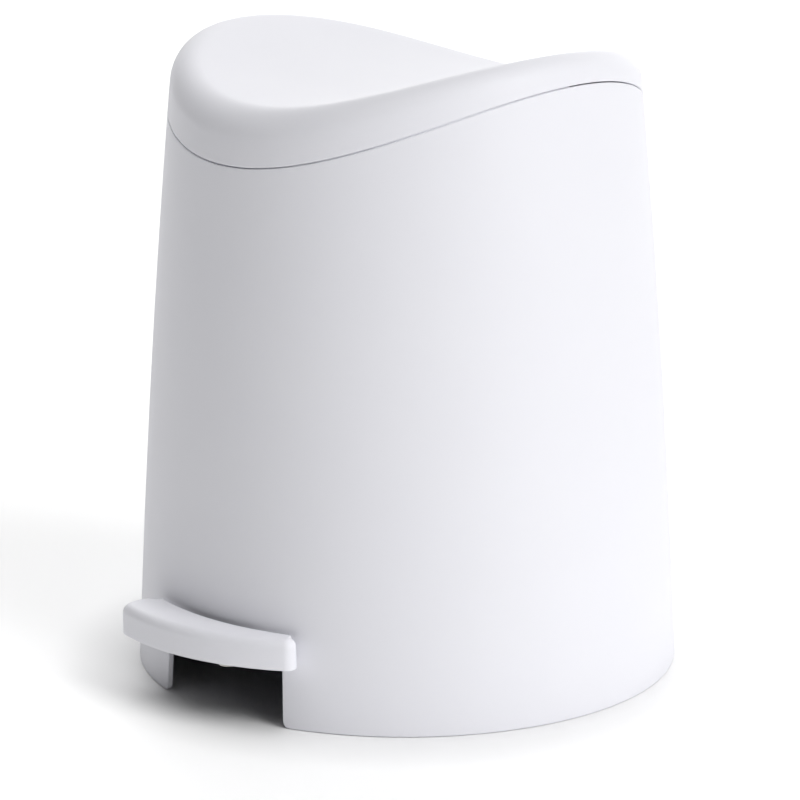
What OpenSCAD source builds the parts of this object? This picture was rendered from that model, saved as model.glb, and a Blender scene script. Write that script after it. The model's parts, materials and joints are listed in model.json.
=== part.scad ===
// Small pedal bin with a saddle-shaped lid, an inner bucket and a pedal, rod and hinge that lift the lid.
// Millimetres, +Z up, front towards -Y, standing on the floor at z = 0.

/* [Body] */
// Outer diameter of the body at the floor
base_d = 190; // [170:1:230]
// Outer diameter of the body at the highest points of its rim
rim_d = 159.4; // [145:0.2:190]
// How far the side wall bows out halfway up
wall_bow = 1.3; // [0:0.1:3]
// Height of the rim at the front and the back, where it is lowest
rim_low = 180.5; // [150:0.5:220]
// How much higher the rim is at the two sides
rim_rise = 25.7; // [18:0.1:36]
// Thickness of the body's wall
shell_wall = 2; // [1.6:0.1:3]

/* [Pedal opening] */
// Width of the opening at the floor
notch_w = 55; // [50:1:64]
// Height of the opening
notch_h = 27; // [25:0.5:29]
// How much each side of the opening leans in towards the top
notch_lean = 1; // [0:0.5:2]

/* [Lid] */
// Gap between the lid's edge and the rim
lid_gap = 0.4; // [0.3:0.1:1]
// Height of the lid's top above the rim's low points, along the valley line
lid_low = 19; // [17:0.5:26]
// How much the lid's top rises from the valley to its sides
lid_rise = 22.5; // [16:0.1:30]
// Sideways shift of the lid's valley line
valley_shift = 4.5; // [0:0.1:6]
// Highest point of the rounded lid above the rim's low points
lid_peak = 39.8; // [36:0.1:48]
// Thickness of the lid
lid_wall = 2; // [1.6:0.1:3]
// How far the lid's locating lip reaches down inside the rim
lip_drop = 3; // [2:0.5:4]
// Clearance between the locating lip and the inside of the rim
lip_gap = 0.8; // [0.5:0.1:1.2]

/* [Lid hinge] */
// How far the hinge axis stands out from the wall
hinge_out = 3.8; // [3.7:0.1:4.5]
// How far the hinge axis lies below the rim
hinge_drop = 2; // [1.5:0.1:2.5]
// Outer radius of the hinge knuckles and lugs
knuckle_r = 3.2; // [3:0.1:3.3]
// Diameter of the hinge pins
hinge_pin_d = 3; // [2.5:0.1:3.2]
// Half the width of the hinge bracket
bracket_half = 16.5; // [15:0.5:20]
// Length of each hinge lug
lug_len = 8; // [6:0.5:12]
// Angle through which the lid opens
lid_open = 70; // [60:1:74]
// Distance from the hinge axis forward to the push rod
rod_arm = 12.5; // [12.2:0.1:13]

/* [Pedal] */
// Radius of the tread's inner edge beyond the body's radius at the floor
tread_gap = 0.5; // [0.5:0.1:2]
// How far the tread's front edge stands out from its inner edge
tread_depth = 13; // [12.5:0.5:16]
// Radius of the tread's outer edge
tread_arc = 82.5; // [80:0.5:95]
// Sideways shift of the outer edge, which makes the tread deeper at one end
tread_skew = 9; // [0:0.5:10]
// Distance from the middle to the tread's left end
tread_left = 36.5; // [35:0.5:40]
// Distance from the middle to the tread's right end
tread_right = 35.4; // [33:0.1:38]
// Radius of the rounded corners at the left end
tread_left_r = 6; // [4:0.5:6]
// Height of the tread's top above the floor
tread_top = 32.5; // [31:0.5:33]
// Height of the tread's skirt
tread_h = 10; // [9:0.5:11]
// Radius of the tread's rounded top edge
tread_round = 3.5; // [2:0.5:4]
// Thickness of the tread's top and skirt
tread_wall = 2; // [1.6:0.1:2.2]
// Height of the pedal's pivot above the floor
pivot_z = 15.5; // [15:0.1:16]
// Distance of the pivot in front of the body's axis
pivot_front = 25; // [20:1:32]
// Diameter of the pivot pin
pivot_d = 4; // [3:0.1:4.5]

/* [Push rod] */
// Diameter of the wire
rod_d = 3; // [2.5:0.1:3.2]
// Height of the guide block on the rear wall
guide_z = 136; // [110:1:150]

/* [Base plate] */
// Height of the plate's underside
plate_z = 29.5; // [29.5:0.1:32]
// Thickness of the plate
plate_t = 2.5; // [2:0.1:3.5]
// Radius on which the four screws lie
screw_circle = 84; // [80:0.5:86]

/* [Bucket] */
// Outer radius of the bucket's wall at the top
bucket_top_r = 68.5; // [60:0.5:68.5]
// Outer radius of the bucket at the bottom
bucket_bottom_r = 62; // [56:0.5:64]
// How far the bucket's rim lies below the body's rim
bucket_below = 9; // [9:0.5:20]
// How far the bucket stands forward of the body's axis
bucket_front = 4.5; // [4.5:0.1:6]
// Thickness of the bucket's wall
bucket_wall = 1.5; // [1.2:0.1:2.5]
// Diameter of the bail's wire
bail_d = 3; // [2.5:0.1:3]

/* [Fits] */
// Radial clearance of a pin in its bore
run_fit = 0.06; // [0.03:0.01:0.1]
// Gap between pieces that pass each other
side_gap = 0.5; // [0.4:0.1:0.8]

/* [Hidden] */
$fn = 64;

white = [0.92, 0.92, 0.95];
dark = [0.16, 0.17, 0.19];
grey = [0.45, 0.46, 0.48];
steel = [0.72, 0.73, 0.75];

base_r = base_d / 2;
rim_r = rim_d / 2;
rim_high = rim_low + rim_rise;
top_z = rim_low + lid_peak;
lip_t = 1.6;
saddle_steps = 20;
saddle_half = base_r + 5;

// Radius of the outside at height z: a straight taper with an even bow
function r_at(z) = base_r - (base_r - rim_r) * z / rim_high
    + 4 * wall_bow * (z / rim_high) * (1 - z / rim_high);

// Height of the rim, and of the lid's top, at distance x from the middle
function rim_at(x) = rim_low + rim_rise * pow(x / rim_r, 2);
function lid_at(x) = rim_low + lid_low + lid_rise * (1 - cos(90 * (x - valley_shift) / rim_r));

// Hinge axis of the lid
hinge_y = r_at(rim_low) + hinge_out;
hinge_z = rim_low - hinge_drop;
relief_half = bracket_half + side_gap;
relief_z = rim_low - 0.5;

// Push rod: it slides straight up and down, and its top crank runs in the bracket's slot
rod_r = rod_d / 2;
rod_y = hinge_y - rod_arm;
half_open = lid_open / 2;
rod_lift = 2 * rod_arm * tan(half_open);
crank_top = hinge_z - rod_arm * tan(half_open);
slot_far = rod_arm / cos(half_open);
slot_play = 0.45;
slot_gap = 0.3;
slot_r = rod_r + slot_play + slot_gap;
arm_margin = 2.5;
bracket_t = 2.4;
bracket_deep = 28;
cheek_t = 2;
bracket_top = rim_low + 5.9;
bracket_screw_x = 11;
bracket_screw_y = hinge_y - 22;
knuckle_in = 6;
arm_x = 3;
arm_t = 3.5;

// Pedal lever: it turns about the pivot pin and lifts the rod's lower crank
pivot_y = -pivot_front;
crank_low = pivot_z - rod_lift / 2;
hub_r = pivot_d / 2 + 3;
hub_half = 9.5;
ear_t = 3.5;
ear_x = hub_half + side_gap;
pin_half = ear_x + ear_t + 2.6;
clip_t = 1.2;
bar_x = 3.5;
bar_t = 6;
bar_half_h = 3.5;

// Tread: a curved shell round the front of the body
tread_in = base_r + tread_gap;
tread_out = tread_in + tread_depth;
tread_bottom = tread_top - tread_h;
tread_arc_y = tread_arc - tread_out;
tread_blend = 0.03;
neck_half = 18;
neck_top = tread_top - 6.5;
neck_t = 3;
neck_back = 83;
neck_gap = 0.6;
boss_r = 3.4;
tread_boss_x = 12;
tread_boss_y = -(tread_in + 4.7);

// The row's origin is under the middle of the whole bin, pedal included
axis_y = (tread_out - base_r) / 2;

// Base plate, bosses and screws
plate_top = plate_z + plate_t;
plate_r = r_at(plate_top) - shell_wall - 0.4;
plate_rim_h = 4;
plate_rib_t = 1.6;
plate_rib_x = 34;
plate_rib_len = 110;
cup_in = bucket_bottom_r + 0.8;
cup_t = 1.8;
cup_h = 5;
shell_boss_r = 5;
shell_boss_h = 10;
screw_r = 1.25;
pilot_r = screw_r + run_fit;
screw_hole_r = screw_r + 0.3;
screw_head_r = 3;
screw_head_h = 2;

// Bush of the lower guide
bush_r = rod_r + 2;
bush_flange = 1.5;

// Rear wall guide
guide_back = r_at(guide_z + 15) - shell_wall - 3.6;
guide_front = rod_y - rod_r - 2;
guide_half = 12;
guide_h = 12;
guide_screw_x = 8;
guide_plate_t = 2.5;

// Bucket
bucket_floor = plate_top;
bucket_top = rim_low - bucket_below;
flange_w = 2.5;
flange_t = 1.5;
flange_r = bucket_top_r + flange_w;
bail_r = bail_d / 2;
bail_z = bucket_top + bail_r + 0.35;
bail_loop_r = bucket_top_r + flange_w / 2;
bail_ear_out = bucket_top_r - 2.5;
bail_ear_t = 3;
bail_ear_r = bail_r + 1.6;
bail_end = bail_ear_out - bail_ear_t - 2;

module at_axis() {
    translate([0, axis_y, 0]) children();
}

// A cylinder of radius r from x = a to x = b through (y, z)
module rod_x(r, a, b, y, z) {
    translate([a, y, z]) rotate([0, 90, 0]) cylinder(r = r, h = b - a);
}

// An outline drawn in Y and Z, given thickness from x = a to x = b
module slab_x(a, b) {
    translate([a, 0, 0]) rotate([90, 0, 90]) linear_extrude(b - a) children();
}

// A pan-head screw pointing up: its head hangs below z = 0
module screw_up(shank) {
    difference() {
        union() {
            translate([0, 0, -screw_head_h]) cylinder(r = screw_head_r, h = screw_head_h);
            translate([0, 0, -0.01]) cylinder(r = screw_r, h = shank);
        }
        for (turn = [0, 90])
            rotate([0, 0, turn]) translate([-2, -0.4, -screw_head_h - 0.1]) cube([4, 0.8, 1.1]);
    }
}

// Solid of revolution inside the outer surface, drawn in by inset, from z0 to z1
module body_solid(inset, z0, z1) {
    steps = 12;
    rotate_extrude() polygon(concat([[0, z0]],
        [for (i = [0:steps]) let(z = z0 + (z1 - z0) * i / steps) [r_at(z) - inset, z]], [[0, z1]]));
}

// X of the points of a saddle curve, from left to right
function saddle_xs() = [for (i = [-saddle_steps:saddle_steps]) saddle_half * i / saddle_steps];

// Everything above a curve drawn in X and Z
module above(curve) {
    translate([0, saddle_half, 0]) rotate([90, 0, 0]) linear_extrude(2 * saddle_half)
        polygon(concat(curve, [[saddle_half, 2 * rim_high], [-saddle_half, 2 * rim_high]]));
}

// Everything above the rim's saddle curve, moved up by lift
module above_rim(lift) {
    above([for (x = saddle_xs()) [x, rim_at(x) + lift]]);
}

// Everything above the lid's saddle curve, moved down by drop
module above_lid(drop) {
    above([for (x = saddle_xs()) [x, lid_at(x) - drop]]);
}

// Opening in the front for the pedal, with rounded feet left on both sides
module pedal_notch() {
    foot = 2;
    low = notch_w / 2;
    high = notch_w / 2 - notch_lean;
    translate([0, -base_r / 2, 0]) rotate([90, 0, 0]) linear_extrude(base_r) difference() {
        polygon([[-low - foot, -1], [low + foot, -1], [low + foot, foot], [low, foot],
                 [high, notch_h], [-high, notch_h], [-low, foot], [-low - foot, foot]]);
        for (s = [-1, 1]) translate([s * (low + foot), foot]) circle(r = foot);
    }
}

// Two lugs on the back of the body, with a web down to the wall
module hinge_lugs() {
    for (s = [-1, 1]) {
        a = s > 0 ? relief_half + 0.3 : -relief_half - 0.3 - lug_len;
        rod_x(knuckle_r, a, a + lug_len, hinge_y, hinge_z);
        slab_x(a, a + lug_len) polygon([[hinge_y - 12, hinge_z - 16], [hinge_y - 3, hinge_z - 14],
            [hinge_y + knuckle_r, hinge_z], [hinge_y, hinge_z + 1], [hinge_y - 12, hinge_z + 1]]);
    }
}

// Four bosses inside the wall that the base plate is screwed to
module plate_bosses() {
    for (turn = [45:90:315]) rotate([0, 0, turn]) {
        translate([screw_circle, 0, plate_top]) cylinder(r = shell_boss_r, h = shell_boss_h);
        translate([screw_circle, -shell_boss_r, plate_top])
            cube([base_r - screw_circle, 2 * shell_boss_r, shell_boss_h]);
    }
}

// Flat pad on the inside of the rear wall for the rod's guide block
module guide_pad() {
    translate([-guide_half, guide_back, guide_z]) cube([2 * guide_half, 12, guide_h]);
}

module outer_shell() {
    color(white) at_axis() difference() {
        union() {
            difference() {
                body_solid(0, 0, rim_high + 4);
                above_rim(0);
            }
            hinge_lugs();
        }
        difference() {
            body_solid(shell_wall, -1, rim_high + 5);
            plate_bosses();
            guide_pad();
        }
        pedal_notch();
        translate([-relief_half, hinge_y - 14, relief_z]) cube([2 * relief_half, 14, 20]);
        rod_x(hinge_pin_d / 2 + run_fit, -relief_half - 20, relief_half + 20, hinge_y, hinge_z);
        for (turn = [45:90:315]) rotate([0, 0, turn])
            translate([screw_circle, 0, plate_top - 1]) cylinder(r = pilot_r, h = 9);
        for (s = [-1, 1]) translate([s * guide_screw_x, guide_back - 1, guide_z + guide_h / 2])
            rotate([-90, 0, 0]) cylinder(r = pilot_r, h = 5);
    }
}

module base_plate() {
    color(dark) at_axis() difference() {
        union() {
            translate([0, 0, plate_z]) cylinder(r = plate_r, h = plate_t);
            // rim under the edge of the plate
            translate([0, 0, plate_z - plate_rim_h]) difference() {
                cylinder(r = plate_r - 1, h = plate_rim_h + 0.5);
                translate([0, 0, -1]) cylinder(r = plate_r - 1 - plate_rib_t, h = plate_rim_h + 2);
                translate([-notch_w / 2 - 2, -base_r, -1]) cube([notch_w + 4, base_r, plate_rim_h + 1]);
                for (turn = [45:90:315]) rotate([0, 0, turn])
                    translate([screw_circle, 0, -1]) cylinder(r = screw_head_r + 1, h = plate_rim_h + 1);
            }
            // ring that the bucket stands in
            translate([0, -bucket_front, plate_top - 0.5]) difference() {
                cylinder(r = cup_in + cup_t, h = cup_h + 0.5);
                translate([0, 0, -1]) cylinder(r = cup_in, h = cup_h + 2);
            }
            // ears for the pivot pin
            for (s = [-1, 1]) {
                a = s > 0 ? ear_x : -ear_x - ear_t;
                rod_x(hub_r, a, a + ear_t, pivot_y, pivot_z);
                slab_x(a, a + ear_t) polygon([[pivot_y - hub_r, pivot_z], [pivot_y + hub_r, pivot_z],
                    [pivot_y + hub_r + 6, plate_z + 0.5], [pivot_y - hub_r - 6, plate_z + 0.5]]);
            }
            // stiffening ribs beside the lever's path
            for (s = [-1, 1])
                translate([s * plate_rib_x - plate_rib_t / 2, -plate_rib_len / 2, plate_z - plate_rim_h])
                    cube([plate_rib_t, plate_rib_len, plate_rim_h + 0.5]);
        }
        rod_x(pivot_d / 2 + run_fit, -30, 30, pivot_y, pivot_z);
        translate([0, rod_y, plate_z - 1]) cylinder(r = bush_r + 0.05, h = plate_t + 2);
        for (turn = [45:90:315]) rotate([0, 0, turn])
            translate([screw_circle, 0, plate_z - 1]) cylinder(r = screw_hole_r, h = plate_t + 2);
    }
}

module base_screws() {
    color(steel) at_axis() for (turn = [45:90:315]) rotate([0, 0, turn])
        translate([screw_circle, 0, plate_z]) screw_up(plate_t + 7);
}

module lower_rod_guide() {
    color(grey) at_axis() translate([0, rod_y, 0]) difference() {
        union() {
            translate([0, 0, plate_z]) cylinder(r = bush_r, h = plate_t + 0.2);
            translate([0, 0, plate_top]) cylinder(r = bush_r + 1.8, h = bush_flange);
        }
        translate([0, 0, plate_z - 1]) cylinder(r = rod_r + run_fit, h = 10);
    }
}

module upper_rod_guide() {
    color(grey) at_axis() difference() {
        union() {
            translate([-guide_half + 1, guide_back - guide_plate_t, guide_z])
                cube([2 * guide_half - 2, guide_plate_t, guide_h]);
            translate([-rod_r - 2, guide_front, guide_z])
                cube([2 * rod_r + 4, guide_back - guide_front, guide_h]);
        }
        translate([0, rod_y, guide_z - 1]) cylinder(r = rod_r + run_fit, h = guide_h + 2);
        for (s = [-1, 1]) translate([s * guide_screw_x, guide_back - 5, guide_z + guide_h / 2])
            rotate([-90, 0, 0]) cylinder(r = screw_hole_r, h = 8);
    }
}

module guide_screws() {
    color(steel) at_axis() for (s = [-1, 1])
        translate([s * guide_screw_x, guide_back - guide_plate_t, guide_z + guide_h / 2])
            rotate([-90, 0, 0]) screw_up(6);
}

module inner_bucket() {
    bottom_t = 2;
    slope = (bucket_top_r - bucket_bottom_r) / (bucket_top - bucket_floor);
    inner_low = bucket_bottom_r - bucket_wall;
    color(grey) at_axis() translate([0, -bucket_front, 0]) difference() {
        union() {
            rotate_extrude() polygon([
                [0, bucket_floor], [bucket_bottom_r - 3, bucket_floor],
                [bucket_bottom_r, bucket_floor + 3], [bucket_top_r, bucket_top - flange_t],
                [bucket_top_r + flange_w, bucket_top - flange_t], [bucket_top_r + flange_w, bucket_top],
                [bucket_top_r - bucket_wall, bucket_top],
                [inner_low + slope * bottom_t, bucket_floor + 4], [inner_low - 2, bucket_floor + bottom_t],
                [0, bucket_floor + bottom_t]]);
            // ears that carry the bail, on a shelf inside the rim
            for (s = [0, 1]) mirror([s, 0, 0]) {
                rod_x(bail_ear_r, bail_ear_out - bail_ear_t, bail_ear_out, 0, bail_z);
                slab_x(bail_ear_out - bail_ear_t, bail_ear_out) polygon([[-bail_ear_r, bail_z],
                    [bail_ear_r, bail_z], [bail_ear_r, bucket_top - 1], [-bail_ear_r, bucket_top - 1]]);
                slab_x(bail_ear_out - bail_ear_t, bucket_top_r - bucket_wall / 2) polygon([
                    [-bail_ear_r - 1, bucket_top], [bail_ear_r + 1, bucket_top],
                    [bail_ear_r, bucket_top - 5], [-bail_ear_r, bucket_top - 5]]);
            }
        }
        rod_x(bail_r + run_fit, -flange_r, flange_r, 0, bail_z);
    }
}

// Wire loop that lies round the front of the bucket's flange
module bucket_bail() {
    bend = 3;
    elbow_x = sqrt(pow(bail_loop_r - bend, 2) - pow(bend, 2));
    turn = asin(bend / (bail_loop_r - bend));
    color(steel) at_axis() translate([0, -bucket_front, bail_z]) {
        rotate([0, 0, 180 + turn]) rotate_extrude(angle = 180 - 2 * turn)
            translate([bail_loop_r, 0]) circle(r = bail_r);
        for (s = [0, 1]) mirror([s, 0, 0]) {
            translate([elbow_x, -bend, 0]) rotate([0, 0, -turn]) rotate_extrude(angle = 90 + turn)
                translate([bend, 0]) circle(r = bail_r);
            rod_x(bail_r, bail_end, elbow_x, 0, 0);
        }
    }
}

// Plastic grip clipped over the middle of the bail
module bail_grip() {
    span = 44;
    color(grey) at_axis() translate([0, -bucket_front, bail_z])
        rotate([0, 0, 270 - span / 2]) rotate_extrude(angle = span)
            translate([bail_loop_r, 0]) difference() {
                translate([-3.2, -bail_r - 0.05]) square([6.4, 2 * bail_r + 2.2]);
                circle(r = bail_r + 0.03);
                translate([-bail_r, -3]) square([2 * bail_r, 3]);
            }
}

// Lid: the wall's taper carried on upwards, closed by the saddle
module lid_cover() {
    peak = top_z;
    boss_top = lid_at(0) - lid_wall / 2;
    color(white) at_axis() difference() {
        union() {
            difference() {
                body_solid(0, rim_low - 1, peak);
                above_lid(0);
                difference() {
                    body_solid(lid_wall, rim_low - 2, peak - lid_wall);
                    above_lid(lid_wall);
                }
            }
            locating_lip();
            for (s = [-1, 1]) translate([s * bracket_screw_x, bracket_screw_y, bracket_top])
                cylinder(r = boss_r, h = boss_top - bracket_top);
        }
        difference() {
            translate([0, 0, -1]) cylinder(r = base_r, h = top_z);
            above_rim(lid_gap);
            lip_zone();
        }
        translate([-bracket_half - 0.3, hinge_y - 14, rim_low - 4])
            cube([2 * bracket_half + 0.6, 14, bracket_top + 0.3 - rim_low + 4]);
        for (s = [-1, 1]) translate([s * bracket_screw_x, bracket_screw_y, bracket_top - 1])
            cylinder(r = pilot_r, h = 8);
    }
}

// Space of the locating lip: inside the rim, in the front half only, so the lid can swing back
module lip_zone() {
    intersection() {
        body_solid(shell_wall + lip_gap, rim_low - lip_drop - 1, rim_high + 6);
        front_half();
        above_rim(-lip_drop);
    }
}

module front_half() {
    translate([-base_r, -base_r, 0]) cube([2 * base_r, base_r - 6, 2 * rim_high]);
}

module locating_lip() {
    difference() {
        lip_zone();
        body_solid(shell_wall + lip_gap + lip_t, rim_low - lip_drop - 2, rim_high + 7);
        above_rim(4);
    }
    difference() {
        intersection() {
            body_solid(lid_wall / 2, rim_low, rim_high + 6);
            front_half();
            above_rim(lid_gap);
        }
        body_solid(shell_wall + lip_gap + lip_t / 2, rim_low - 1, rim_high + 7);
        above_rim(4);
    }
}

// Bracket: knuckles outside the wall, a neck over the rim, a plate under the lid and the slotted arm
module hinge_bracket() {
    neck_low = relief_z + 0.6 - hinge_z;
    plate_hi = bracket_top - hinge_z;
    plate_lo = plate_hi - bracket_t;
    low_y = rod_arm + slot_r + arm_margin;
    low_z = crank_top - hinge_z - slot_r - arm_margin;
    color(white) at_axis() difference() {
        translate([0, hinge_y, hinge_z]) {
            for (a = [-bracket_half, knuckle_in])
                rod_x(knuckle_r, a, a + bracket_half - knuckle_in, 0, 0);
            slab_x(-bracket_half, bracket_half) polygon([[knuckle_r, 0], [knuckle_r, knuckle_r],
                [1.2, plate_hi - 1.4], [-1.5, plate_hi], [-bracket_deep, plate_hi],
                [-bracket_deep, plate_lo], [-10, plate_lo], [-8, neck_low], [-2, neck_low], [-2, 0]]);
            // slotted arm
            slab_x(arm_x, arm_x + arm_t) polygon([[-low_y - 1, plate_hi - 0.5], [-6.7, plate_hi - 0.5],
                [-6.7, low_z + 4], [-10, low_z], [-low_y + 3.2, low_z], [-low_y - 0.6, low_z + 5.5]]);
            // cheeks that stiffen the neck
            for (x = [-bracket_half, bracket_half - cheek_t]) slab_x(x, x + cheek_t)
                polygon([[-bracket_deep, plate_lo + 0.1], [-8, plate_lo + 0.1], [-8, neck_low]]);
        }
        rod_x(hinge_pin_d / 2 + run_fit, -bracket_half - 1, -knuckle_in + 2, hinge_y, hinge_z);
        rod_x(hinge_pin_d / 2 + run_fit, knuckle_in - 2, bracket_half + 1, hinge_y, hinge_z);
        translate([0, hinge_y, hinge_z]) rotate([180 + half_open, 0, 0]) {
            rod_x(slot_r, arm_x - 1, arm_x + arm_t + 1, rod_arm - 0.3, 0);
            rod_x(slot_r, arm_x - 1, arm_x + arm_t + 1, slot_far + 0.3, 0);
            translate([arm_x - 1, rod_arm - 0.3, -slot_r])
                cube([arm_t + 2, slot_far - rod_arm + 0.6, 2 * slot_r]);
        }
        for (s = [-1, 1]) translate([s * bracket_screw_x, bracket_screw_y, hinge_z])
            cylinder(r = screw_hole_r, h = 20);
    }
}

module bracket_screws() {
    color(steel) at_axis() for (s = [-1, 1])
        translate([s * bracket_screw_x, bracket_screw_y, bracket_top - bracket_t]) screw_up(bracket_t + 6);
}

// Headed hinge pin, pushed in from the side through a lug into a knuckle
module hinge_pin(s) {
    outer = relief_half + 0.3 + lug_len;
    head_t = 1.5;
    a = s > 0 ? knuckle_in - 1 : -outer - head_t;
    h = s > 0 ? outer + 0.1 : -outer - head_t;
    rod_x(hinge_pin_d / 2, a, a + outer + head_t - knuckle_in + 1, hinge_y, hinge_z);
    rod_x(hinge_pin_d / 2 + 1, h, h + head_t - 0.1, hinge_y, hinge_z);
}

module left_hinge_pin() {
    color(steel) at_axis() hinge_pin(-1);
}

module right_hinge_pin() {
    color(steel) at_axis() hinge_pin(1);
}

// Outer edge of the tread, drawn in by inset
module tread_edge(inset) {
    translate([-tread_skew, tread_arc_y]) circle(r = tread_arc - inset);
}

// Y of a circle of radius r that touches the tread's outer edge from inside, with its centre at x
function under_edge(x, r) = tread_arc_y - sqrt(pow(tread_arc - r, 2) - pow(x + tread_skew, 2));

// Radius of the round nose that touches both edges of the tread and ends at x = tread_right
function nose_radius() = let(
    k = pow(tread_in, 2) - pow(tread_right, 2) + pow(tread_arc_y, 2)
        + pow(tread_right + tread_skew, 2) - pow(tread_arc, 2),
    m = 2 * (tread_in - tread_skew + tread_arc),
    n = pow(tread_in, 2) - pow(tread_right, 2),
    p = 2 * (tread_in + tread_right),
    q = 4 * pow(tread_arc_y, 2),
    half = k * m - q * p / 2)
    (-half + sqrt(half * half - m * m * (k * k - q * n))) / (m * m);

// Plan of the tread, drawn in by inset: a curved band with a broad rounded end and a narrow round nose
module tread_plan(inset, inner) {
    nose = nose_radius();
    left_x = tread_left_r - tread_left;
    left_out = under_edge(left_x, tread_left_r);
    left_in = -sqrt(pow(tread_in + tread_left_r, 2) - left_x * left_x);
    right_x = tread_right - nose;
    right_y = under_edge(right_x, nose);
    edge = inset - tread_left;
    difference() {
        union() {
            intersection() {
                tread_edge(inset);
                polygon([[0, 0], [left_x, left_in], [left_x, left_out],
                    [2 * left_x + tread_skew, 2 * left_out - tread_arc_y],
                    [2 * right_x + tread_skew, 2 * right_y - tread_arc_y], [right_x, right_y]]);
            }
            polygon([[left_x, left_in], [edge, left_in], [edge, left_out], [left_x, left_out]]);
            for (y = [left_in, left_out])
                translate([left_x, y]) circle(r = tread_left_r - inset + tread_blend);
            translate([right_x, right_y]) circle(r = nose - inset + tread_blend);
        }
        circle(r = inner);
    }
}

module pedal_tread() {
    steps = 6;
    color(white) at_axis() difference() {
        union() {
            difference() {
                intersection() {
                    translate([-tread_skew, tread_arc_y, 0]) rotate_extrude() polygon(concat(
                        [[0, tread_bottom], [tread_arc, tread_bottom]],
                        [for (i = [0:steps]) let(a = 90 * i / steps)
                            [tread_arc - tread_round * (1 - cos(a)), tread_top - tread_round * (1 - sin(a))]],
                        [[0, tread_top]]));
                    translate([0, 0, tread_bottom - 1]) linear_extrude(tread_h + 2) tread_plan(0, tread_in);
                }
                translate([0, 0, tread_bottom - 1]) linear_extrude(tread_h + 1 - tread_wall)
                    tread_plan(tread_wall, tread_in - 1);
            }
            for (s = [-1, 1]) translate([s * tread_boss_x, tread_boss_y, neck_top])
                cylinder(r = boss_r, h = tread_top - neck_top - tread_wall / 2);
        }
        for (s = [-1, 1]) translate([s * tread_boss_x, tread_boss_y, neck_top - 1])
            cylinder(r = pilot_r, h = 5);
    }
}

module pedal_lever() {
    web_y = -neck_back - 6;
    color(dark) at_axis() difference() {
        union() {
            translate([0, 0, neck_top - neck_t]) linear_extrude(neck_t) intersection() {
                tread_edge(tread_wall + neck_gap);
                translate([-neck_half, -tread_out]) square([2 * neck_half, tread_out - neck_back]);
            }
            slab_x(-hub_half, hub_half) polygon([[web_y, neck_top], [pivot_y, pivot_z + neck_t],
                [pivot_y, pivot_z - neck_t], [web_y, neck_top - neck_t]]);
            rod_x(hub_r, -hub_half, hub_half, pivot_y, pivot_z);
            slab_x(bar_x, bar_x + bar_t) polygon([
                [pivot_y, pivot_z + bar_half_h], [rod_y, crank_low + bar_half_h],
                [rod_y, crank_low - bar_half_h], [pivot_y, pivot_z - bar_half_h]]);
            rod_x(bar_half_h + 0.6, bar_x, bar_x + bar_t, rod_y, crank_low);
        }
        rod_x(pivot_d / 2 + run_fit, -hub_half - 1, hub_half + 1, pivot_y, pivot_z);
        for (y = [rod_y - slot_play, rod_y])
            rod_x(rod_r + slot_gap, bar_x - 1, bar_x + bar_t + 1, y, crank_low);
        translate([bar_x - 1, rod_y - slot_play, crank_low - rod_r - slot_gap])
            cube([bar_t + 2, slot_play, 2 * (rod_r + slot_gap)]);
        for (s = [-1, 1]) translate([s * tread_boss_x, tread_boss_y, 0])
            cylinder(r = screw_hole_r, h = tread_top);
    }
}

module tread_screws() {
    color(steel) at_axis() for (s = [-1, 1])
        translate([s * tread_boss_x, tread_boss_y, neck_top - neck_t]) screw_up(neck_t + 4);
}

module pivot_pin() {
    groove = pin_half - 1 - clip_t;
    color(steel) at_axis() difference() {
        rod_x(pivot_d / 2, -pin_half, pin_half, pivot_y, pivot_z);
        for (s = [-1, 1]) {
            a = s > 0 ? groove : -groove - clip_t;
            difference() {
                rod_x(pivot_d, a, a + clip_t, pivot_y, pivot_z);
                rod_x(pivot_d / 2 - 0.5, a - 1, a + clip_t + 1, pivot_y, pivot_z);
            }
        }
    }
}

// Split ring for a wire or pin end, open downwards
module split_ring(inner, outer, a, y, z) {
    difference() {
        rod_x(outer, a, a + clip_t - 0.1, y, z);
        rod_x(inner, a - 1, a + clip_t + 1, y, z);
        translate([a - 1, y - inner * 0.8, z - outer - 1]) cube([clip_t + 2, inner * 1.6, outer + 1]);
    }
}

module pivot_clips() {
    groove = pin_half - 1 - clip_t;
    color(steel) at_axis() for (a = [groove + 0.05, -groove - clip_t + 0.05])
        split_ring(pivot_d / 2 - 0.5 + 0.03, pivot_d / 2 + 1.8, a, pivot_y, pivot_z);
}

// Bent wire: a straight rod with a crank to the side at each end
module push_rod() {
    top_end = arm_x + arm_t + 3.6;
    low_end = bar_x + bar_t + 3.6;
    color(steel) at_axis() {
        translate([0, rod_y, crank_low]) cylinder(r = rod_r, h = crank_top - crank_low);
        for (z = [crank_low, crank_top]) translate([0, rod_y, z]) sphere(r = rod_r);
        rod_x(rod_r, 0, low_end, rod_y, crank_low);
        rod_x(rod_r, 0, top_end, rod_y, crank_top);
    }
}

module upper_rod_clip() {
    color(steel) at_axis() split_ring(rod_r + 0.03, rod_r + 1.8, arm_x + arm_t + 0.8, rod_y, crank_top);
}

module lower_rod_clip() {
    color(steel) at_axis() split_ring(rod_r + 0.03, rod_r + 1.8, bar_x + bar_t + 0.8, rod_y, crank_low);
}

outer_shell();
base_plate();
base_screws();
inner_bucket();
bucket_bail();
bail_grip();
lid_cover();
hinge_bracket();
bracket_screws();
left_hinge_pin();
right_hinge_pin();
pedal_tread();
pedal_lever();
tread_screws();
pivot_pin();
pivot_clips();
push_rod();
upper_rod_clip();
lower_rod_clip();
upper_rod_guide();
guide_screws();
lower_rod_guide();
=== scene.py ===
import json
import math

import bmesh
import bpy
from mathutils import Matrix, Vector


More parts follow.
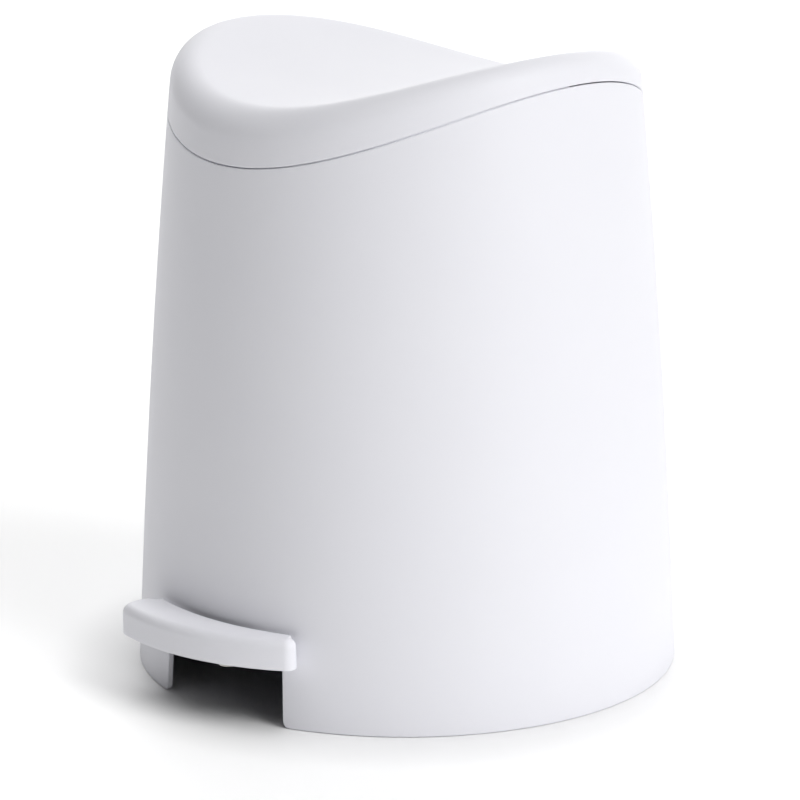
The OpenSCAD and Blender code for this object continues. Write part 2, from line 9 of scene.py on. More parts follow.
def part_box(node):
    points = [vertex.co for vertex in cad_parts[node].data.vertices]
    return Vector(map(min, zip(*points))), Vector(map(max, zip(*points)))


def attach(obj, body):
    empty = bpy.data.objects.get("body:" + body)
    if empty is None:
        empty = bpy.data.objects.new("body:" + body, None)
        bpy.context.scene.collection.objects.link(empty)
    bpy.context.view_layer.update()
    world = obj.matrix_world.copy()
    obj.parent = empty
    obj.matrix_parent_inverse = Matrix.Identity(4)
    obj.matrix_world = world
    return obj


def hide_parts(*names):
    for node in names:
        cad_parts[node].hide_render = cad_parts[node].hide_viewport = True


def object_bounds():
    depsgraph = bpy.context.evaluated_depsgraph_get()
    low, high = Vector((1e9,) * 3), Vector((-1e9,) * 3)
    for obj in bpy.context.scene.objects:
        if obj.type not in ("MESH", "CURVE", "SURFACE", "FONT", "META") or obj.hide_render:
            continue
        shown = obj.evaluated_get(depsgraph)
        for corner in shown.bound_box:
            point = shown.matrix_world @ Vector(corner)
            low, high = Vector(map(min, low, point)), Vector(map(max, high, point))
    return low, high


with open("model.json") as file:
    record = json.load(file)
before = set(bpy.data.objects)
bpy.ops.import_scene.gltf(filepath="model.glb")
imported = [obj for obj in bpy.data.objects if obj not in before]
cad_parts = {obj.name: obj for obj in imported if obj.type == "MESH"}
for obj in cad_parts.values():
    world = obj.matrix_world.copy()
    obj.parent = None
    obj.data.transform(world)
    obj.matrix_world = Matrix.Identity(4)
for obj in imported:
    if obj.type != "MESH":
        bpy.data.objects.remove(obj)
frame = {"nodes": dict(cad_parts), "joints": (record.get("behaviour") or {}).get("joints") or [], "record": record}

# Small white pedal bin: a tapered round body, a saddle-shaped lid, a crescent-shaped tread,
# and the bucket, bail, hinge, rod and lever inside. Shapes are worked out in millimetres.
cad_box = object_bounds()
MM = 0.001

# Body: its axis, radii and rim, which the lid carries on upwards
shell_low, shell_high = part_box("outer_shell")
BASE_R = round((shell_high.x - shell_low.x) / 2 / MM, 1)
AXIS_Y = shell_high.y / MM - BASE_R
RIM_R = 79.7
RIM_LOW = 180.5
RIM_RISE = 25.7
RIM_HIGH = RIM_LOW + RIM_RISE
WALL_BOW = 1.3
WALL_T = 2.0
TURNS = 216
STEP = 2 * math.pi / TURNS

# Pedal opening
NOTCH_TURNS = 10
NOTCH_ROWS = 5
NOTCH_H = 27.0
NOTCH_LOW = 27.5
NOTCH_HIGH = 26.5
FOOT_LIFT = 0.15

# Lid
LID_GAP = 0.4
LID_EDGE_H = 10.35
LID_EDGE_W = 10.25
LID_WALL = 2.0
LIP_GAP = 0.8
LIP_T = 1.6

# Hinge, taken from the joint that the lid turns on
lid_joint = next(j for j in frame["joints"] if j["name"] == "lid_hinge")
HINGE_Y = lid_joint["pos_m"][1] / MM - AXIS_Y
HINGE_Z = lid_joint["pos_m"][2] / MM
RELIEF_TURNS = 7
RELIEF_HALF = 17.0
RELIEF_Z = RIM_LOW - 0.5
BRACKET_HALF = 16.8
BRACKET_TOP = 186.7
LUG_GAP = 0.3
LUG_LEN = 8.0
KNUCKLE_R = 3.2

# Tread: a band between the body and a circle set a little to one side
tread_low, tread_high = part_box("pedal_tread")
TREAD_TOP = tread_high.z / MM
TREAD_H = (tread_high.z - tread_low.z) / MM
TREAD_LEFT = -tread_low.x / MM
TREAD_RIGHT = tread_high.x / MM
TREAD_OUT = AXIS_Y - tread_low.y / MM
TREAD_IN = BASE_R + 0.5
TREAD_ARC = 82.5
TREAD_SKEW = 9.0
TREAD_LEFT_R = 6.0
TREAD_ARC_Y = TREAD_ARC - TREAD_OUT
TREAD_WALL = 2.0
TREAD_ROUND = 3.0
SCREW_BOSS_R = 3.4
SCREW_HEAD_R = 3.0


# The camera's turn round the bin, from the front to the right; the lights are placed by it too
VIEW_TURN = math.radians(42.3221)


def wall_radius(z):
    """Radius of the outside of the body, and of the lid's skirt, at height z."""
    t = z / RIM_HIGH
    return BASE_R - (BASE_R - RIM_R) * t + 4 * WALL_BOW * t * (1 - t)


def rim_height(x):
    """Height of the body's rim at distance x from the middle."""
    return RIM_LOW + RIM_RISE * (x / RIM_R) ** 2


def lid_height(x):
    """Height of the lid's top at distance x from the middle, the left lobe a little higher."""
    u = x / 80
    return 199.54 + 27.59 * u ** 2 - 5.44 * u ** 4 - 2.17 * u


def settle(height_at, sine, inset=0.0):
    """Height where the wall, drawn in by inset, meets height_at in the direction whose sine is given."""
    z = RIM_LOW
    for _ in range(12):
        z = height_at((wall_radius(z) - inset) * sine)
    return z


def place(vert, radius, angle, z):
    """Puts a vertex at radius, angle and z round the body's axis; angle 0 is the front, in radians."""
    vert.co = Vector((radius * math.sin(angle), AXIS_Y - radius * math.cos(angle), z)) * MM


def angle_of(vert):
    return math.atan2(vert.co.x, -vert.co.y)


def spun_line(start, end, rows, turns=TURNS, sweep=2 * math.pi):
    """A straight line cut into rows and swept round the Z axis."""
    bm = bmesh.new()
    line = bm.edges.new((bm.verts.new(start), bm.verts.new(end)))
    bmesh.ops.subdivide_edges(bm, edges=[line], cuts=rows - 1)
    whole = sweep > 2 * math.pi - 0.001
    bmesh.ops.spin(bm, geom=bm.verts[:] + bm.edges[:], cent=(0, 0, 0), axis=(0, 0, 1),
                   angle=sweep, steps=turns, use_merge=whole)
    bmesh.ops.remove_doubles(bm, verts=bm.verts[:], dist=1e-5)
    return bm


def finished(name, bm, body, material, stands_for=(), sharp=35):
    """Turns a bmesh into a smooth-shaded piece that rides on a body."""
    mesh = bpy.data.meshes.new(name)
    bm.to_mesh(mesh)
    bm.free()
    mesh.shade_smooth()
    mesh.set_sharp_from_angle(angle=math.radians(sharp))
    piece = bpy.data.objects.new(name, mesh)
    bpy.context.scene.collection.objects.link(piece)
    mesh.materials.append(material)
    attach(piece, body)
    if stands_for:
        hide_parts(*stands_for)
    return piece


def thicken(piece, thickness):
    """Gives an open sheet its wall, inwards from the outer face."""
    wall = piece.modifiers.new("wall", "SOLIDIFY")
    wall.thickness = thickness * MM
    wall.offset = -1
    wall.use_even_offset = True
    return wall


def soften(piece, width, segments=3, angle=40):
    """Rounds the sharp edges by width, in millimetres, and keeps the flats flat."""
    edge = piece.modifiers.new("soft_edges", "BEVEL")
    edge.width = width * MM
    edge.segments = segments
    edge.limit_method = "ANGLE"
    edge.angle_limit = math.radians(angle)
    edge.use_clamp_overlap = True
    shade = piece.modifiers.new("even_shading", "WEIGHTED_NORMAL")
    shade.keep_sharp = True
    return edge


# ---------------------------------------------------------------- materials

def linear(code):
    """sRGB hex code to a linear colour."""
    parts = [int(code[i:i + 2], 16) / 255 for i in (1, 3, 5)]
    return [c / 12.92 if c <= 0.04045 else ((c + 0.055) / 1.055) ** 2.4 for c in parts] + [1.0]


def add(tree, kind, inputs=None, **settings):
    """Adds a node with its settings; a socket given as an input is linked, anything else is set."""
    made = tree.nodes.new(kind)
    for name, value in settings.items():
        setattr(made, name, value)
    for socket, value in (inputs or {}).items():
        if isinstance(value, bpy.types.NodeSocket):
            tree.links.new(value, made.inputs[socket])
        else:
            made.inputs[socket].default_value = value
    return made


def new_material(name):
    material = bpy.data.materials.new(name)
    material.use_nodes = True
    material.node_tree.nodes.clear()
    return material, material.node_tree


def spread(tree, value, low, high):
    """Maps a pattern from 0..1 to low..high."""
    ranged = add(tree, "ShaderNodeMapRange", {"Value": value, "To Min": low, "To Max": high})
    return ranged.outputs["Result"]


def two_tones(tree, factor, light, dark):
    """Mixes two colours; 6, 7 and 2 are the mix node's colour sockets."""
    mixed = add(tree, "ShaderNodeMix", {"Factor": factor, 6: linear(light), 7: linear(dark)},
                data_type="RGBA")
    return mixed.outputs[2]


def moulded(name, light, dark, rough, grain, depth, flow=26.0, specular=0.5, scatter=0.0):
    """Moulded plastic: a fine eroded grain, slow flow clouding and a little unevenness in its sheen."""
    material, tree = new_material(name)
    place_on = add(tree, "ShaderNodeTexCoord").outputs["Object"]
    cloud = add(tree, "ShaderNodeTexNoise", {"Vector": place_on, "Scale": 1 / (flow * MM), "Detail": 3.0,
                                            "Roughness": 0.45}).outputs["Fac"]
    fine = add(tree, "ShaderNodeTexNoise", {"Vector": place_on, "Scale": 1 / (grain * MM), "Detail": 2.0,
                                           "Roughness": 0.6}).outputs["Fac"]
    pits = add(tree, "ShaderNodeTexVoronoi", {"Vector": place_on, "Scale": 1 / (grain * 1.7 * MM)},
               feature="SMOOTH_F1").outputs["Distance"]
    tone = two_tones(tree, spread(tree, cloud, 0.15, 0.85), light, dark)
    grain_height = add(tree, "ShaderNodeMath", {0: fine, 1: pits}, operation="ADD").outputs[0]
    bump = add(tree, "ShaderNodeBump", {"Height": grain_height, "Strength": 0.6,
                                        "Distance": depth * MM}).outputs["Normal"]
    sheen_of = add(tree, "ShaderNodeMath", {0: spread(tree, cloud, rough - 0.04, rough + 0.04),
                                            1: spread(tree, fine, -0.03, 0.03)}, operation="ADD").outputs[0]
    shader = add(tree, "ShaderNodeBsdfPrincipled", {"Base Color": tone, "Roughness": sheen_of,
                                                    "Normal": bump, "Specular IOR Level": specular,
                                                    "IOR": 1.49, "Subsurface Weight": scatter,
                                                    "Subsurface Scale": 0.002,
                                                    "Subsurface Radius": (1.0, 0.95, 0.9)})
    add(tree, "ShaderNodeOutputMaterial", {"Surface": shader.outputs[0]})
    return material


def metal(name, light, dark, rough, along, streak=0.9, depth=0.004):
    """Metal: drawn or turned lines along or round the piece, with small changes of tone."""
    material, tree = new_material(name)
    place_on = add(tree, "ShaderNodeTexCoord").outputs["Object"]
    stretched = add(tree, "ShaderNodeMapping", {"Vector": place_on, "Scale": along}).outputs["Vector"]
    lines = add(tree, "ShaderNodeTexNoise", {"Vector": stretched, "Scale": 1 / (streak * MM), "Detail": 4.0,
                                            "Roughness": 0.65}).outputs["Fac"]
    cloud = add(tree, "ShaderNodeTexNoise", {"Vector": place_on, "Scale": 1 / (7 * MM),
                                            "Detail": 2.0}).outputs["Fac"]
    tone = two_tones(tree, cloud, light, dark)
    bump = add(tree, "ShaderNodeBump", {"Height": lines, "Strength": 0.5,
                                        "Distance": depth * MM}).outputs["Normal"]
    sheen_of = spread(tree, lines, rough - 0.08, rough + 0.1)
    shader = add(tree, "ShaderNodeBsdfPrincipled", {"Base Color": tone, "Metallic": 1.0,
                                                    "Roughness": sheen_of, "Normal": bump})
    add(tree, "ShaderNodeOutputMaterial", {"Surface": shader.outputs[0]})
    return material


# Matte white polypropylene of the body, lid and tread: a faint violet cast and an even eroded grain
body_white = moulded("matte_white_polypropylene", "#F1F1F6", "#EEEEF4", 0.52, 0.5, 0.010, 34.0, 0.45)
# Plainer white polypropylene of the hinge bracket: smoother, a little greyer
fitting_white = moulded("plain_white_polypropylene", "#E6E7EC", "#DEDFE5", 0.42, 0.8, 0.008, 18.0, 0.5)
# Painted shade: the base plate and lever are given a dark blue-grey polypropylene so that the pedal opening reads
# as a deep blue-grey shadow
painted_shade_fitting = moulded("painted_shade_blue_grey_polypropylene", "#2C3038", "#24272E", 0.46, 0.8, 0.010, 18.0, 0.4)
# Light grey polypropylene of the bucket: smooth, with slow flow clouding
bucket_grey = moulded("light_grey_polypropylene", "#BFC1C8", "#B4B6BE", 0.36, 1.1, 0.008, 22.0, 0.5)
# Darker grey grip on the bail: coarse grain that a hand would feel
grip_grey = moulded("dark_grey_polypropylene", "#6C6E73", "#606267", 0.48, 0.6, 0.02, 9.0, 0.5)
# Acetal guides: dense and slippery, with a waxy gloss
guide_acetal = moulded("natural_white_acetal", "#E2E0D8", "#D8D6CC", 0.28, 0.9, 0.004, 8.0, 0.55)
# Zinc-plated drawn wire of the rod and bail: bluish bright, fine lines along the wire
zinc_wire = metal("zinc_plated_drawn_wire", "#C9CCD2", "#AEB2BA", 0.3, (1.0, 1.0, 0.06))
# Turned steel pins: rings round the pin's length
pin_steel = metal("turned_bright_steel", "#C4C5C8", "#A4A6AA", 0.24, (0.25, 1.0, 1.0), 0.5)
# Blackened spring steel of the clips: dark, with a low sheen
clip_steel = metal("blackened_spring_steel", "#55575B", "#3E4044", 0.42, (1.0, 1.0, 1.0), 0.7)
# Zinc-plated screws: slightly yellowed plating, worn in its sheen
screw_steel = metal("zinc_plated_screw_steel", "#CCCBC6", "#ACABA4", 0.34, (1.0, 1.0, 0.3), 0.6)

BY_SLOT = {"white_body": body_white, "white_fitting": fitting_white, "dark_fitting": painted_shade_fitting,
           "grey_bucket": bucket_grey, "grey_grip": grip_grey, "acetal_guide": guide_acetal,
           "zinc_wire": zinc_wire, "steel_pin": pin_steel, "spring_steel": clip_steel,
           "screw_steel": screw_steel}


# ---------------------------------------------------------------- camera

def view_directions():
    """Level directions to the viewer's right and towards the viewer."""
    right = Vector((math.cos(VIEW_TURN), math.sin(VIEW_TURN), 0))
    front = Vector((math.sin(VIEW_TURN), -math.cos(VIEW_TURN), 0))
    return right, front


def set_camera():
    """Looks at the front from the right and a little above, with a long lens."""
    rise, roll = math.radians(13.1339), math.radians(-0.1624)
    right, front = view_directions()
    back = front * math.cos(rise) + Vector((0, 0, math.sin(rise)))
    up = back.cross(right)
    across = math.cos(roll) * right + math.sin(roll) * up
    upright = math.cos(roll) * up - math.sin(roll) * right
    target = Vector((0, AXIS_Y, 89.88)) * MM - right * 2.31 * MM
    data = bpy.data.cameras.new("camera")
    data.sensor_width = 36
    data.lens = 120.6
    data.clip_start = 0.05
    data.clip_end = 20
    camera = bpy.data.objects.new("camera", data)
    bpy.context.scene.collection.objects.link(camera)
    turned = Matrix((across, upright, back)).transposed().to_4x4()
    camera.matrix_world = Matrix.Translation(target + back * 0.93724) @ turned
    bpy.context.scene.camera = camera


# ---------------------------------------------------------------- body

def make_body_wall():
    """The tapered wall, with its saddle-shaped rim, the pedal opening and the relief for the hinge."""
    rows = 41
    bm = spun_line((0, -1, 0), (0, -1, 1), rows)
    for vert in bm.verts:
        row = round(vert.co.z * rows)
        angle = angle_of(vert)
        turn = round(angle / STEP)
        behind = TURNS / 2 - abs(turn)
        rim = settle(rim_height, math.sin(angle))
        if behind <= RELIEF_TURNS:
            rim = RELIEF_Z
        if row <= NOTCH_ROWS:
            z = max(NOTCH_H * row / NOTCH_ROWS, FOOT_LIFT)
        else:
            z = NOTCH_H + (rim - NOTCH_H) * (row - NOTCH_ROWS) / (rows - NOTCH_ROWS)
        if abs(turn) == NOTCH_TURNS and row <= NOTCH_ROWS:
            half = NOTCH_LOW + (NOTCH_HIGH - NOTCH_LOW) * z / NOTCH_H
            angle = math.copysign(math.asin(half / wall_radius(z)), angle)
        place(vert, wall_radius(z), angle, z)
    opening = [f for f in bm.faces
               if f.calc_center_median().z < NOTCH_H * MM
               and f.calc_center_median().y < 0
               and abs(f.calc_center_median().x) < NOTCH_HIGH * MM]
    bmesh.ops.delete(bm, geom=opening, context="FACES")
    feet = [v for v in bm.verts
            if v.co.z < 0.2 * MM and v.co.y < 0
            and abs(abs(v.co.x) - NOTCH_LOW * MM) < 0.05 * MM]
    bmesh.ops.bevel(bm, geom=feet, offset=2.2 * MM, affect="VERTICES", segments=5, profile=0.5, material=-1)
    bmesh.ops.recalc_face_normals(bm, faces=bm.faces[:])
    turn_outwards(bm)
    wall = finished("body_wall", bm, "root", body_white, ("outer_shell",))
    thicken(wall, WALL_T)
    soften(wall, 0.45)


def turn_outwards(bm):
    """Makes the faces of an upright sheet look away from the body's axis."""
    side = max(bm.faces, key=lambda f: f.calc_center_median().x)
    if side.normal.x < 0:
        bmesh.ops.reverse_faces(bm, faces=bm.faces[:])


def slab(outline, low, high):
    """An outline in Y and Z, in millimetres from the body's axis, pushed along X from low to high."""
    bm = bmesh.new()
    face = bm.faces.new([bm.verts.new(Vector((low, AXIS_Y + y, z)) * MM) for y, z in outline])
    pushed = bmesh.ops.extrude_face_region(bm, geom=[face])["geom"]
    bmesh.ops.translate(bm, verts=[g for g in pushed if isinstance(g, bmesh.types.BMVert)],
                        vec=(Vector((high - low, 0, 0)) * MM))
    bmesh.ops.recalc_face_normals(bm, faces=bm.faces[:])
    return bm


def drum(bm, radius, middle, length, along, segments=48):
    """Adds a closed cylinder centred on middle, in millimetres, lying along X, Y or Z."""
    tip = {"x": Matrix.Rotation(math.pi / 2, 4, "Y"), "y": Matrix.Rotation(math.pi / 2, 4, "X"),
           "z": Matrix.Identity(4)}[along]
    where = Matrix.Translation(Vector((middle[0], AXIS_Y + middle[1], middle[2])) * MM)
    bmesh.ops.create_cone(bm, cap_ends=True, segments=segments, radius1=radius * MM, radius2=radius * MM,
                          depth=length * MM, matrix=where @ tip)
    return bm


def make_hinge_lugs():
    """The two lugs moulded on the back of the body, each with its web down to the wall."""
    for name, sign in (("left", -1), ("right", 1)):
        near, far = sign * (RELIEF_HALF + LUG_GAP), sign * (RELIEF_HALF + LUG_GAP + LUG_LEN)
        low, high = min(near, far), max(near, far)
        web = slab([(HINGE_Y - 11, HINGE_Z - 16), (HINGE_Y - 3, HINGE_Z - 14),
                    (HINGE_Y + KNUCKLE_R, HINGE_Z), (HINGE_Y, HINGE_Z + 1),
                    (HINGE_Y - 5.5, HINGE_Z + 1)], low, high)
        soften(finished(f"hinge_lug_web_{name}", web, "root", body_white), 0.4)
        eye = drum(bmesh.new(), KNUCKLE_R, ((low + high) / 2, HINGE_Y, HINGE_Z), LUG_LEN, "x")
        soften(finished(f"hinge_lug_{name}", eye, "root", body_white), 0.4)


def make_inner_bosses():
    """Four bosses for the base plate's screws and the pad that carries the rod's guide."""
    for number in range(4):
        turn = math.radians(45 + 90 * number)
        x, y = 84 * math.cos(turn), 84 * math.sin(turn)
        boss = drum(bmesh.new(), 5, (x, y, 37), 10, "z")
        block = bmesh.ops.create_cube(boss, size=1)["verts"]
        where = Matrix.Translation(Vector((0, AXIS_Y, 37)) * MM) @ Matrix.Rotation(turn, 4, "Z")
        where = where @ Matrix.Translation(Vector((87.5, 0, 0)) * MM)
        where = where @ Matrix.Diagonal((7 * MM, 10 * MM, 10 * MM, 1))
        bmesh.ops.transform(boss, matrix=where, verts=block)
        soften(finished(f"plate_boss_{number + 1}", boss, "root", body_white), 0.3)
    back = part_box("upper_rod_guide")[1].y / MM - AXIS_Y
    pad = slab([(back, 136), (back + 5.2, 136), (back + 4.6, 148), (back, 148)], -12, 12)
    soften(finished("guide_pad", pad, "root", body_white), 0.3)


# ---------------------------------------------------------------- lid

def make_lid():
    """The lid: a saddle-shaped top that rolls over a wide soft edge into a short skirt."""
    top_rings, edge_rings, skirt_rings = 28, 12, 5
    rings = top_rings + edge_rings + skirt_rings
    bm = spun_line((0, 0, 0), (0, -1, 0), rings)
    for vert in bm.verts:
        ring = round(Vector((vert.co.x, vert.co.y)).length * rings)
        angle = angle_of(vert) if ring else 0.0
        behind = TURNS / 2 - abs(round(angle / STEP))
        sine = math.sin(angle)
        if ring <= top_rings:
            z = settle(lid_height, sine, LID_EDGE_W)
            radius = (wall_radius(z) - LID_EDGE_W) * ring / top_rings
            z = lid_height(radius * sine)
        elif ring <= top_rings + edge_rings:
            roll = math.pi / 2 * (ring - top_rings) / edge_rings
            inset = LID_EDGE_W * (1 - math.sin(roll))
            drop = LID_EDGE_H * (1 - math.cos(roll))
            z = settle(lambda x: lid_height(x) - drop, sine, inset)
            radius = wall_radius(z) - inset
        else:
            share = (ring - top_rings - edge_rings) / skirt_rings
            high = settle(lambda x: lid_height(x) - LID_EDGE_H, sine)
            low = settle(lambda x: rim_height(x) + LID_GAP, sine)
            if behind <= RELIEF_TURNS:
                share = (ring - top_rings - edge_rings - 1) / (skirt_rings - 1)
                high = BRACKET_TOP
            z = high + (low - high) * share
            radius = wall_radius(z)
            if behind == RELIEF_TURNS:
                angle = math.copysign(math.pi - math.asin(BRACKET_HALF / radius), angle)
        place(vert, radius, angle, z)
    relief = [f for f in bm.faces
              if f.calc_center_median().z < BRACKET_TOP * MM
              and f.calc_center_median().y > 0
              and abs(f.calc_center_median().x) < BRACKET_HALF * MM]
    bmesh.ops.delete(bm, geom=relief, context="FACES")
    bmesh.ops.recalc_face_normals(bm, faces=bm.faces[:])
    turn_outwards(bm)
    lid = finished("lid", bm, "lid", body_white, ("lid_cover",), sharp=50)
    thicken(lid, LID_WALL)
    soften(lid, 0.35, angle=50)


def make_lid_fittings():
    """Under the lid: the locating lip round the front and the bosses for the bracket's screws."""
    rows, sweep = 6, math.pi * 0.93
    bm = spun_line((0, -1, 0), (0, -1, 1), rows, 100, sweep)
    for vert in bm.verts:
        row = round(vert.co.z * rows)
        angle = angle_of(vert) % (2 * math.pi) - sweep / 2
        low = settle(lambda x: rim_height(x) - 3, math.sin(angle), WALL_T + LIP_GAP)
        z = low + 3.4 * min(row, 4) / 4 + max(row - 4, 0) * 0.8
        inset = WALL_T + LIP_GAP - 0.55 * max(row - 4, 0)
        place(vert, wall_radius(z) - inset, angle, z)
    bmesh.ops.recalc_face_normals(bm, faces=bm.faces[:])
    lip = finished("lid_locating_lip", bm, "lid", body_white)
    thicken(lip, LIP_T)
    soften(lip, 0.3)
    bracket_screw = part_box("bracket_screws")
    screw_y = (bracket_screw[0].y + bracket_screw[1].y) / 2 / MM - AXIS_Y
    screw_x = bracket_screw[1].x / MM - SCREW_HEAD_R
    bosses = bmesh.new()
    for sign in (-1, 1):
        top = lid_height(sign * screw_x) - 1.5
        foot = BRACKET_TOP - 0.3
        drum(bosses, SCREW_BOSS_R, (sign * screw_x, screw_y, (top + foot) / 2), top - foot, "z")
    soften(finished("lid_screw_bosses", bosses, "lid", body_white), 0.3)


# ---------------------------------------------------------------- tread

def under_edge(x, radius):
    """Y of a circle of that radius which touches the tread's outer edge from inside, its centre at x."""
    return TREAD_ARC_Y - math.sqrt((TREAD_ARC - radius) ** 2 - (x + TREAD_SKEW) ** 2)


def nose_circle():
    """Middle and radius of the round nose that touches both edges and ends at the tread's right end."""
    low, high = 0.5, TREAD_LEFT_R
    for _ in range(40):
        radius = (low + high) / 2
        x = TREAD_RIGHT - radius
        y = under_edge(x, radius)
        low, high = (low, radius) if math.hypot(x, y) < TREAD_IN + radius else (radius, high)
    return x, y, radius


def tread_edges(x):
    """Y of the tread's inner and outer edges at x, its two ends rounded."""
    left_x = TREAD_LEFT_R - TREAD_LEFT
    left_out = under_edge(left_x, TREAD_LEFT_R)
    left_in = -math.sqrt((TREAD_IN + TREAD_LEFT_R) ** 2 - left_x ** 2)
    nose_x, nose_y, nose = nose_circle()
    outer = TREAD_ARC_Y - math.sqrt(TREAD_ARC ** 2 - (x + TREAD_SKEW) ** 2)
    inner = -math.sqrt(TREAD_IN ** 2 - x ** 2)
    in_left = math.sqrt(max(TREAD_LEFT_R ** 2 - (x - left_x) ** 2, 0))
    in_nose = math.sqrt(max(nose ** 2 - (x - nose_x) ** 2, 0))
    if x < left_x + (left_x + TREAD_SKEW) / (TREAD_ARC - TREAD_LEFT_R) * TREAD_LEFT_R:
        outer = left_out - in_left
    if x < left_x * TREAD_IN / (TREAD_IN + TREAD_LEFT_R):
        inner = left_in + in_left
    if x > nose_x + (nose_x + TREAD_SKEW) / (TREAD_ARC - nose) * nose:
        outer = nose_y - in_nose
    if x > nose_x * TREAD_IN / (TREAD_IN + nose):
        inner = nose_y + in_nose
    return inner, outer


def make_tread():
    """The foot tread: a hollow crescent with a flat top and rounded outer edges."""
    columns = 80
    bm = bmesh.new()
    bmesh.ops.create_grid(bm, x_segments=columns, y_segments=1, size=0.5)
    middle, half = (TREAD_RIGHT - TREAD_LEFT) / 2, (TREAD_RIGHT + TREAD_LEFT) / 2
    for vert in bm.verts:
        x = middle - half * math.cos(math.pi * (vert.co.x + 0.5))
        inner, outer = tread_edges(x)
        vert.co = Vector((x, AXIS_Y + (inner if vert.co.y > 0 else outer), TREAD_TOP)) * MM
    bmesh.ops.remove_doubles(bm, verts=bm.verts[:], dist=0.02 * MM)
    bmesh.ops.dissolve_faces(bm, faces=bm.faces[:])
    bmesh.ops.recalc_face_normals(bm, faces=bm.faces[:])
    top = bm.faces[:]
    pushed = bmesh.ops.extrude_face_region(bm, geom=top)["geom"]
    bmesh.ops.translate(bm, verts=[g for g in pushed if isinstance(g, bmesh.types.BMVert)],
                        vec=(0, 0, -TREAD_H * MM))
    bmesh.ops.recalc_face_normals(bm, faces=bm.faces[:])

    def is_inner(item):
        mid = sum((v.co for v in item.verts), Vector()) / len(item.verts)
        return math.hypot(mid.x, mid.y - AXIS_Y * MM) < (TREAD_IN + 0.05) * MM

    rounded = [e for e in bm.edges
               if all(v.co.z > (TREAD_TOP - 0.1) * MM for v in e.verts) and not is_inner(e)]
    bmesh.ops.bevel(bm, geom=rounded, offset=TREAD_ROUND * MM, affect="EDGES", segments=7, profile=0.5,
                    material=-1, clamp_overlap=False)
    open_faces = [f for f in bm.faces
                  if is_inner(f) or f.calc_center_median().z < (TREAD_TOP - TREAD_H + 0.05) * MM]
    bmesh.ops.delete(bm, geom=open_faces, context="FACES")
    tread = finished("pedal_tread_shell", bm, "pedal", body_white, ("pedal_tread",), sharp=50)
    thicken(tread, TREAD_WALL)
    soften(tread, 0.4, angle=50)
    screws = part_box("tread_screws")
    bosses = bmesh.new()
    middle_y = (screws[0].y + screws[1].y) / 2 / MM - AXIS_Y
    for sign in (-1, 1):
        screw_x = sign * (screws[1].x / MM - SCREW_HEAD_R)
        drum(bosses, SCREW_BOSS_R, (screw_x, middle_y, TREAD_TOP - 3.75), 5.5, "z")
    soften(finished("tread_screw_bosses", bosses, "pedal", body_white), 0.3)


# ---------------------------------------------------------------- smaller pieces

def refine(node, width, body, slot):
    """A copy of a CAD node, its loose triangles merged and its edges rounded."""
    source = frame["nodes"][node]
    bm = bmesh.new()
    bm.from_mesh(source.data)
    bmesh.ops.remove_doubles(bm, verts=bm.verts[:], dist=0.01 * MM)
    bmesh.ops.dissolve_limit(bm, angle_limit=math.radians(0.6), verts=bm.verts[:], edges=bm.edges[:])
    bmesh.ops.recalc_face_normals(bm, faces=bm.faces[:])
    piece = finished(f"{node}_finished", bm, body, BY_SLOT[slot], (node,))
    soften(piece, width, 2, 40)
    return piece


EDGE_WIDTH = {"hinge_bracket": 0.35, "base_plate": 0.3, "pedal_lever": 0.35, "inner_bucket": 0.35,
              "bail_grip": 0.4, "upper_rod_guide": 0.3, "lower_rod_guide": 0.25}
SHAPED_ABOVE = ("outer_shell", "lid_cover", "pedal_tread")

set_camera()
make_body_wall()
make_hinge_lugs()
make_inner_bosses()
make_lid()
make_lid_fittings()
make_tread()

body_of_node = {n: b for b, members in frame["record"]["behaviour"]["bodies"].items() for n in members}
slot_of_node = {s["node"]: s["material_slot"] for s in frame["record"]["subparts"]}
for node, source in frame["nodes"].items():
    source.data.materials.clear()
    source.data.materials.append(BY_SLOT[slot_of_node[node]])
    if node not in SHAPED_ABOVE:
        refine(node, EDGE_WIDTH.get(node, 0.15), body_of_node[node], slot_of_node[node])


# ---------------------------------------------------------------- studio

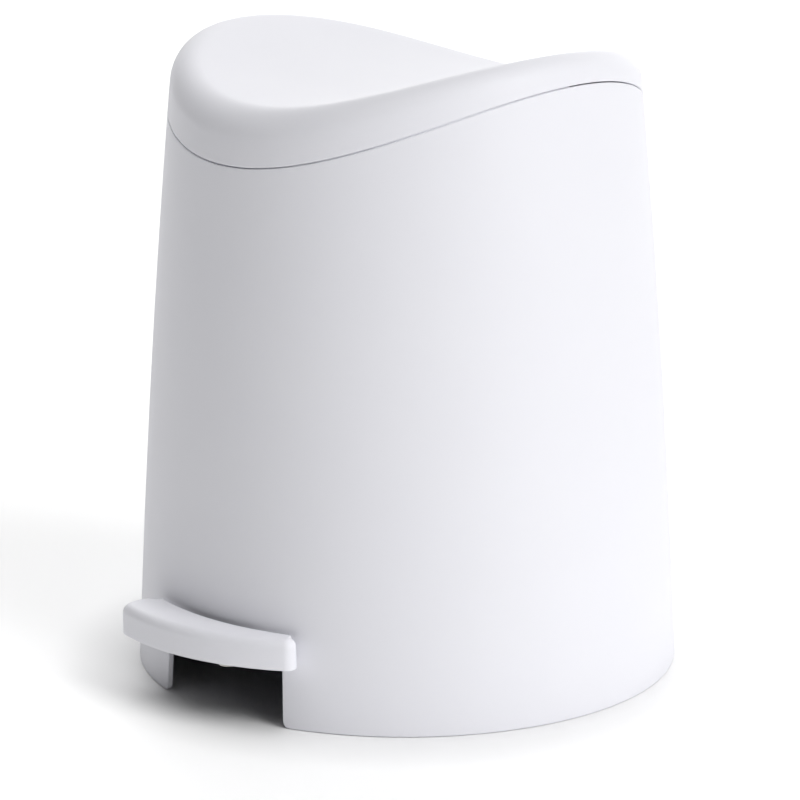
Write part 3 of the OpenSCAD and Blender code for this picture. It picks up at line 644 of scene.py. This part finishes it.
def make_floor():
    """A pale floor that runs far past the bin; it glows white, with a painted shadow under and round the bin."""
    bm = bmesh.new()
    bmesh.ops.create_grid(bm, x_segments=1, y_segments=1, size=4)
    bmesh.ops.translate(bm, verts=bm.verts[:], vec=(0, 0, cad_box[0].z))
    mesh = bpy.data.meshes.new("floor")
    bm.to_mesh(mesh)
    bm.free()
    material, tree = new_material("pale_floor")
    place_on = add(tree, "ShaderNodeTexCoord").outputs["Object"]
    cloud = add(tree, "ShaderNodeTexNoise", {"Vector": place_on, "Scale": 3.0}).outputs["Fac"]
    # painted shadow: the glow that keeps the floor white fades out under the bin
    from_bin = add(tree, "ShaderNodeVectorMath", {0: place_on, 1: (0, AXIS_Y * MM, cad_box[0].z)},
                   operation="DISTANCE").outputs["Value"]
    painted_shadow_fade = {"Value": from_bin, "From Min": (BASE_R + 2) * MM, "From Max": (BASE_R + 30) * MM, "To Max": 0.22}
    glow_with_painted_shadow = add(tree, "ShaderNodeMapRange", painted_shadow_fade).outputs["Result"]
    shader = add(tree, "ShaderNodeBsdfPrincipled", {"Base Color": linear("#FBFBFB"),
                                                    "Roughness": spread(tree, cloud, 0.55, 0.6),
                                                    "Specular IOR Level": 0.3,
                                                    "Emission Color": linear("#FFFFFF"),
                                                    "Emission Strength": glow_with_painted_shadow})
    add(tree, "ShaderNodeOutputMaterial", {"Surface": shader.outputs[0]})
    mesh.materials.append(material)
    floor = bpy.data.objects.new("floor", mesh)
    bpy.context.scene.collection.objects.link(floor)


def add_sky_light(name, towards, strength, spread_of):
    """A broad distant light, so that the floor is lit evenly; spread_of is its width in degrees."""
    data = bpy.data.lights.new(name, "SUN")
    data.energy = strength
    data.angle = math.radians(spread_of)
    light = bpy.data.objects.new(name, data)
    bpy.context.scene.collection.objects.link(light)
    light.rotation_euler = towards.to_track_quat("Z", "Y").to_euler()


def light_studio():
    """A white wall behind, a key and a lower, broader one from the right front, and one from above."""
    right, front = view_directions()
    up = Vector((0, 0, 1))
    world = bpy.data.worlds.new("studio")
    world.use_nodes = True
    tree = world.node_tree
    tree.nodes.clear()
    look = add(tree, "ShaderNodeTexCoord").outputs["Generated"]
    facing = add(tree, "ShaderNodeVectorMath", {0: look, 1: -front}, operation="DOT_PRODUCT")
    behind = add(tree, "ShaderNodeMath", {0: facing.outputs["Value"], 1: 0.0}, operation="MAXIMUM").outputs[0]
    patch = add(tree, "ShaderNodeMath", {0: behind, 1: 3.0}, operation="POWER").outputs[0]
    bright = add(tree, "ShaderNodeMath", {0: patch, 1: 2.76}, operation="MULTIPLY").outputs[0]
    shader = add(tree, "ShaderNodeBackground", {"Color": linear("#FFFFFF"), "Strength": bright})
    add(tree, "ShaderNodeOutputWorld", {"Surface": shader.outputs[0]})
    bpy.context.scene.world = world
    bpy.context.scene.view_settings.view_transform = "Standard"
    add_sky_light("key", right * 0.9 + front * 0.7 + up * 0.9, 1.13, 30)
    add_sky_light("low_key", right * 0.9 + front * 0.7 + up * 0.4, 0.74, 50)
    add_sky_light("top", up + front * 0.15, 1.11, 60)


make_floor()
light_studio()
